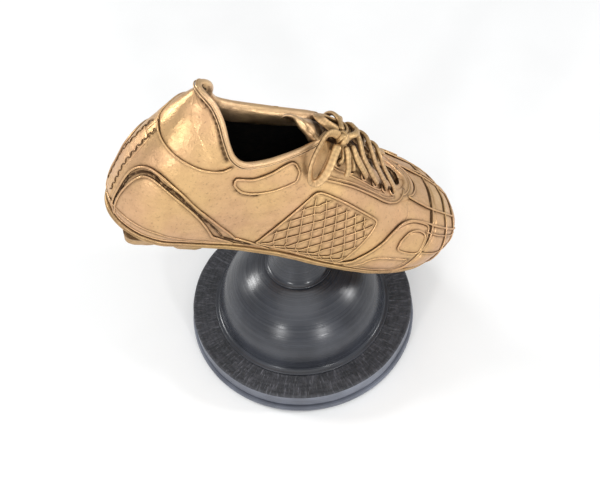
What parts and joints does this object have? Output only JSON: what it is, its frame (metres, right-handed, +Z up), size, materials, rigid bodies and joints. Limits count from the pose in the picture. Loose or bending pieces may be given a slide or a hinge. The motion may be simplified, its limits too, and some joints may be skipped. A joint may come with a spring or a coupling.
{
  "type": "figure trophy",
  "caption": "Trophy with a laced football boot, pitched toe down, bolted on a slim neck over a turned black dome and disc base.",
  "frame": {"origin": "centre of the round felt underside of the base", "axes": "+Z up along the base's axis, +X horizontal under the toe, +Y towards the boot's medial side"},
  "size_m": [0.1658, 0.12, 0.1938],
  "materials": {
    "boot_bronze": "satin gold-bronze metal coat over leather, with brown wash in the seams",
    "lace_bronze": "satin gold-bronze over woven laces, darker in the crossings",
    "sole_bronze": "satin gold-bronze, smoother than the upper",
    "dark_bronze": "dark unpolished inside of the boot",
    "black_lacquer": "turned wood under satin black lacquer, with turning lines and radial checks on the flange",
    "steel": "zinc-plated M6 rod, nuts and washers",
    "felt": "black pressed felt"
  },
  "bodies": {
    "root": {"felt_pad": "felt", "foot_disc": "black_lacquer", "plinth_disc": "black_lacquer", "dome": "black_lacquer", "neck": "black_lacquer", "threaded_rod": "steel", "base_washer": "steel", "base_nut": "steel", "wedge_washer": "steel", "boot_nut": "steel", "vamp": "boot_bronze", "quarter_lateral": "boot_bronze", "quarter_medial": "boot_bronze", "outsole": "sole_bronze", "insole": "dark_bronze", "tongue": "boot_bronze", "collar_binding": "boot_bronze", "heel_tab": "boot_bronze", "heel_upper_panel": "boot_bronze", "back_stay": "boot_bronze", "toe_cap": "boot_bronze", "eyestay": "boot_bronze", "heel_counter_lateral": "boot_bronze", "heel_counter_medial": "boot_bronze", "ankle_patch_lateral": "boot_bronze", "ankle_patch_medial": "boot_bronze", "saddle_panel_lateral": "boot_bronze", "saddle_panel_medial": "boot_bronze", "forefoot_panel_lateral": "boot_bronze", "forefoot_panel_medial": "boot_bronze", "toe_side_panel_lateral": "boot_bronze", "toe_side_panel_medial": "boot_bronze", "heel_stud_1": "sole_bronze", "heel_stud_2": "sole_bronze", "heel_stud_3": "sole_bronze", "heel_stud_4": "sole_bronze", "forefoot_stud_1": "sole_bronze", "forefoot_stud_2": "sole_bronze", "forefoot_stud_3": "sole_bronze", "forefoot_stud_4": "sole_bronze", "forefoot_stud_5": "sole_bronze", "forefoot_stud_6": "sole_bronze", "lace_over_1": "lace_bronze", "lace_under_1": "lace_bronze", "lace_over_2": "lace_bronze", "lace_under_2": "lace_bronze", "lace_over_3": "lace_bronze", "lace_under_3": "lace_bronze", "lace_over_4": "lace_bronze", "lace_under_4": "lace_bronze", "lace_over_5": "lace_bronze", "lace_under_5": "lace_bronze", "lace_knot": "lace_bronze", "lace_to_knot_lateral": "lace_bronze", "lace_to_knot_medial": "lace_bronze", "bow_loop_lateral": "lace_bronze", "bow_loop_medial": "lace_bronze", "lace_tail_lateral": "lace_bronze", "lace_tail_medial": "lace_bronze"}
  },
  "joints": []
}
